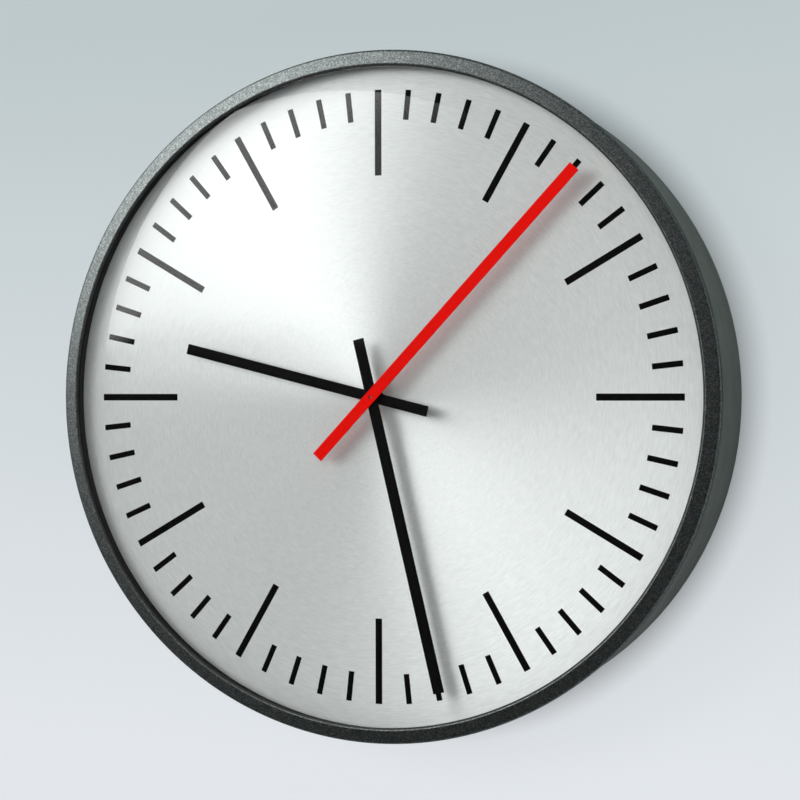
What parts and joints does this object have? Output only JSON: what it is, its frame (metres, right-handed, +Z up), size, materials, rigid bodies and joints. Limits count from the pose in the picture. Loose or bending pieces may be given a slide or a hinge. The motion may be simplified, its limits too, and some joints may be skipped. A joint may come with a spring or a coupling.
{
  "type": "slave clock",
  "caption": "Round wall-mounted slave clock: metal case with a front ring, domed glass, brushed dial with bar marks, plain bar hands and an impulse movement inside.",
  "frame": {"origin": "centre of the back of the case, in the plane of the wall", "axes": "+Z up, +Y into the wall (the dial faces -Y), +X to the right as seen from the front"},
  "size_m": [0.3, 0.0865, 0.3],
  "materials": {
    "ring_paint": "fine textured metallic anthracite paint, satin",
    "case_paint": "smooth grey-green metallic paint, satin",
    "dial_metal": "circularly brushed",
    "dial_ink": "matt black print",
    "hand_black": "matt black paint",
    "hand_red": "satin red paint",
    "glass": "clear domed glass",
    "black_rubber": "matt",
    "black_ring": "matt black",
    "carrier_paint": "matt primer",
    "steel": "plain",
    "zinc": "zinc plated",
    "brass": "fine turned",
    "nickel": "nickel plated",
    "core_iron": "annealed",
    "ivory_plastic": "plain",
    "copper_wire": "enamelled copper wire",
    "lead_plastic": "insulated wire",
    "magnet_black": "sintered magnet"
  },
  "bodies": {
    "clock_body": {"rear_case": "case_paint", "hanger_plate": "zinc", "hanger_rivets": "zinc", "cable_grommet": "black_rubber", "terminal_block": "ivory_plastic", "terminal_sleeves": "brass", "terminal_screws": "steel", "terminal_fixing_screws": "steel", "coil_leads": "lead_plastic", "dial_pillars": "zinc", "pillar_back_screws": "zinc", "pillar_front_screws": "zinc", "dial_carrier": "carrier_paint", "dial_plate": "dial_metal", "hour_marks": "dial_ink", "minute_marks": "dial_ink", "dial_spacer_ring": "black_ring", "glass_gasket": "black_rubber", "front_glass": "glass", "bezel_ring": "ring_paint", "ring_screws": "zinc", "ring_nuts": "zinc", "rear_plate": "nickel", "middle_plate": "nickel", "front_plate": "nickel", "rear_pillars": "brass", "front_pillars": "brass", "carrier_spacers": "brass", "movement_screws": "steel", "plate_bushes": "brass", "centre_bush": "brass", "motor_posts": "brass", "motor_screws": "steel", "minute_stator": "core_iron", "seconds_stator": "core_iron", "coil_cores": "core_iron", "coil_bobbins": "ivory_plastic", "coil_windings": "copper_wire", "motion_stud": "steel"},
    "minute_train": {"centre_wheel": "brass", "minute_tube": "steel", "minute_hand_bush": "hand_black", "minute_hand": "hand_black"},
    "hour_train": {"hour_wheel": "brass", "hour_hand_bush": "hand_black", "hour_hand": "hand_black"},
    "motion": {"motion_wheel": "brass"},
    "minute_mid": {"minute_mid_wheel": "ivory_plastic"},
    "minute_drive": {"minute_rotor": "ivory_plastic", "minute_magnet": "magnet_black"},
    "seconds_train": {"seconds_arbor": "steel", "seconds_wheel": "brass", "second_hand_bush": "steel", "second_hand": "hand_red"},
    "seconds_mid": {"seconds_mid_wheel": "ivory_plastic"},
    "seconds_drive": {"seconds_rotor": "ivory_plastic", "seconds_magnet": "magnet_black"}
  },
  "joints": [
    {"name": "minute_hand_turn", "type": "hinge", "parent": "clock_body", "child": "minute_train", "pos_m": [0, -0.0605, 0], "axis": [0, 1, 0], "continuous": true},
    {"name": "hour_hand_turn", "type": "hinge", "parent": "clock_body", "child": "hour_train", "pos_m": [0, -0.0605, 0], "axis": [0, 1, 0], "continuous": true},
    {"name": "motion_wheel_turn", "type": "hinge", "parent": "clock_body", "child": "motion", "pos_m": [0, -0.0525, 0.012], "axis": [0, 1, 0], "continuous": true},
    {"name": "minute_mid_turn", "type": "hinge", "parent": "clock_body", "child": "minute_mid", "pos_m": [0.02028, -0.043, -0.00544], "axis": [0, 1, 0], "continuous": true},
    {"name": "minute_rotor_turn", "type": "hinge", "parent": "clock_body", "child": "minute_drive", "pos_m": [0.01536, -0.043, -0.01897], "axis": [0, 1, 0], "continuous": true},
    {"name": "second_hand_turn", "type": "hinge", "parent": "clock_body", "child": "seconds_train", "pos_m": [0, -0.0605, 0], "axis": [0, 1, 0], "continuous": true},
    {"name": "seconds_mid_turn", "type": "hinge", "parent": "clock_body", "child": "seconds_mid", "pos_m": [-0.01623, -0.03, -0.00435], "axis": [0, 1, 0], "continuous": true},
    {"name": "seconds_rotor_turn", "type": "hinge", "parent": "clock_body", "child": "seconds_drive", "pos_m": [-0.0113, -0.03, -0.01788], "axis": [0, 1, 0], "continuous": true}
  ],
  "couplings": [
    {"joint": "hour_hand_turn", "follows": "minute_hand_turn", "ratio": 0.083333},
    {"joint": "motion_wheel_turn", "follows": "minute_hand_turn", "ratio": -0.33333},
    {"joint": "minute_mid_turn", "follows": "minute_hand_turn", "ratio": -6},
    {"joint": "minute_rotor_turn", "follows": "minute_hand_turn", "ratio": 30},
    {"joint": "seconds_mid_turn", "follows": "second_hand_turn", "ratio": -6},
    {"joint": "seconds_rotor_turn", "follows": "second_hand_turn", "ratio": 30}
  ]
}
